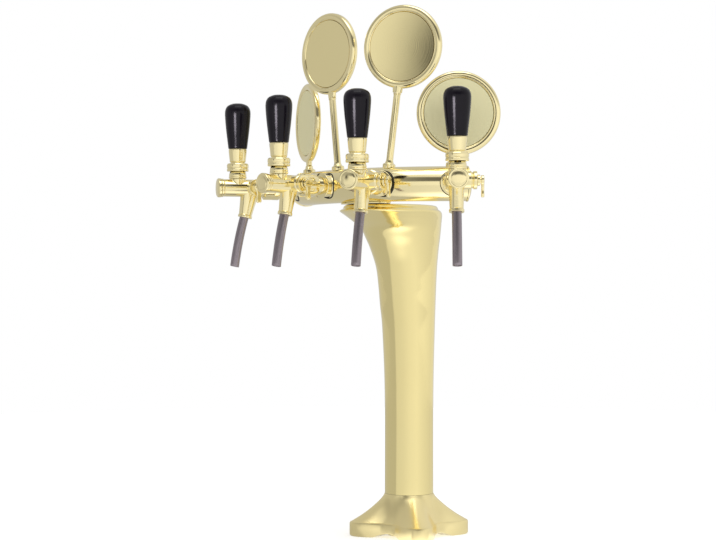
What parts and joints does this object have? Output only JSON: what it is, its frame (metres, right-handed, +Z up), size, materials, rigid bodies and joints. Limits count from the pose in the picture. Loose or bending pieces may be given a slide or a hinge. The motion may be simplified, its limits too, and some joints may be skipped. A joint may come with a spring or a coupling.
{
  "type": "beer tower dispenser",
  "caption": "Polished gold beer tower: column with a flared hood, curved manifold, taps with black grips, round medallions.",
  "frame": {"origin": "under the column's axis, on the face of the foot that stands on the counter", "axes": "+Z up, the taps face -Y, X = 0 is the plane between the two middle taps"},
  "size_m": [0.4172, 0.3042, 0.7209],
  "materials": {
    "polished_gold": "mirror-polished pale gold plate over cast brass",
    "medallion_gold": "mirror-polished pale gold plate over a light pressing",
    "black_grip": "glossy black moulded plastic",
    "spout_steel": "smooth stainless tube",
    "valve_plastic": "pale moulded plastic",
    "line_foam": "dull black foam over the beer lines"
  },
  "bodies": {
    "tower": {"foot": "polished_gold", "column": "polished_gold", "saddle": "polished_gold", "manifold": "polished_gold", "end_cap_left": "polished_gold", "end_cap_right": "polished_gold", "line_bundle": "line_foam", "shank_1": "polished_gold", "coupling_nut_1": "polished_gold", "tap_body_1": "polished_gold", "front_cap_1": "polished_gold", "bonnet_1": "polished_gold", "spout_1": "spout_steel", "stem_1": "medallion_gold", "medallion_1": "medallion_gold", "medallion_face_1": "medallion_gold", "shank_2": "polished_gold", "coupling_nut_2": "polished_gold", "tap_body_2": "polished_gold", "front_cap_2": "polished_gold", "bonnet_2": "polished_gold", "spout_2": "spout_steel", "stem_2": "medallion_gold", "medallion_2": "medallion_gold", "medallion_face_2": "medallion_gold", "shank_3": "polished_gold", "coupling_nut_3": "polished_gold", "tap_body_3": "polished_gold", "front_cap_3": "polished_gold", "bonnet_3": "polished_gold", "spout_3": "spout_steel", "stem_3": "medallion_gold", "medallion_3": "medallion_gold", "medallion_face_3": "medallion_gold", "shank_4": "polished_gold", "coupling_nut_4": "polished_gold", "tap_body_4": "polished_gold", "front_cap_4": "polished_gold", "bonnet_4": "polished_gold", "spout_4": "spout_steel", "stem_4": "medallion_gold", "medallion_4": "medallion_gold", "medallion_face_4": "medallion_gold"},
    "handle_1": {"lever_1": "polished_gold", "grip_1": "black_grip"},
    "valve_1": {"piston_1": "valve_plastic"},
    "flow_lever_1": {"compensator_1": "polished_gold"},
    "handle_2": {"lever_2": "polished_gold", "grip_2": "black_grip"},
    "valve_2": {"piston_2": "valve_plastic"},
    "flow_lever_2": {"compensator_2": "polished_gold"},
    "handle_3": {"lever_3": "polished_gold", "grip_3": "black_grip"},
    "valve_3": {"piston_3": "valve_plastic"},
    "flow_lever_3": {"compensator_3": "polished_gold"},
    "handle_4": {"lever_4": "polished_gold", "grip_4": "black_grip"},
    "valve_4": {"piston_4": "valve_plastic"},
    "flow_lever_4": {"compensator_4": "polished_gold"}
  },
  "joints": [
    {"name": "handle_tilt_1", "type": "hinge", "parent": "tower", "child": "handle_1", "pos_m": [-0.18129, -0.15578, 0.5], "axis": [0.8013, -0.5983, 0], "range_deg": [-15, 30]},
    {"name": "valve_slide_1", "type": "slide", "parent": "tower", "child": "valve_1", "axis": [0.5983, 0.8013, 0], "range_m": [-0.0037, 0.0073]},
    {"name": "flow_turn_1", "type": "hinge", "parent": "tower", "child": "flow_lever_1", "pos_m": [-0.16813, -0.13815, 0.483], "axis": [0.8013, -0.5983, 0], "range_deg": [-60, 60]},
    {"name": "handle_tilt_2", "type": "hinge", "parent": "tower", "child": "handle_2", "pos_m": [-0.06429, -0.2091, 0.5], "axis": [0.9772, -0.2122, 0], "range_deg": [-15, 30]},
    {"name": "valve_slide_2", "type": "slide", "parent": "tower", "child": "valve_2", "axis": [0.2122, 0.9772, 0], "range_m": [-0.0037, 0.0073]},
    {"name": "flow_turn_2", "type": "hinge", "parent": "tower", "child": "flow_lever_2", "pos_m": [-0.05962, -0.1876, 0.483], "axis": [0.9772, -0.2122, 0], "range_deg": [-60, 60]},
    {"name": "handle_tilt_3", "type": "hinge", "parent": "tower", "child": "handle_3", "pos_m": [0.06429, -0.2091, 0.5], "axis": [0.9772, 0.2122, 0], "range_deg": [-15, 30]},
    {"name": "valve_slide_3", "type": "slide", "parent": "tower", "child": "valve_3", "axis": [-0.2122, 0.9772, 0], "range_m": [-0.0037, 0.0073]},
    {"name": "flow_turn_3", "type": "hinge", "parent": "tower", "child": "flow_lever_3", "pos_m": [0.05962, -0.1876, 0.483], "axis": [0.9772, 0.2122, 0], "range_deg": [-60, 60]},
    {"name": "handle_tilt_4", "type": "hinge", "parent": "tower", "child": "handle_4", "pos_m": [0.18129, -0.15578, 0.5], "axis": [0.8013, 0.5983, 0], "range_deg": [-15, 30]},
    {"name": "valve_slide_4", "type": "slide", "parent": "tower", "child": "valve_4", "axis": [-0.5983, 0.8013, 0], "range_m": [-0.0037, 0.0073]},
    {"name": "flow_turn_4", "type": "hinge", "parent": "tower", "child": "flow_lever_4", "pos_m": [0.16813, -0.13815, 0.483], "axis": [0.8013, 0.5983, 0], "range_deg": [-60, 60]}
  ],
  "couplings": [
    {"joint": "valve_slide_1", "follows": "handle_tilt_1", "m_per_rad": 0.0137},
    {"joint": "valve_slide_2", "follows": "handle_tilt_2", "m_per_rad": 0.0137},
    {"joint": "valve_slide_3", "follows": "handle_tilt_3", "m_per_rad": 0.0137},
    {"joint": "valve_slide_4", "follows": "handle_tilt_4", "m_per_rad": 0.0137}
  ]
}
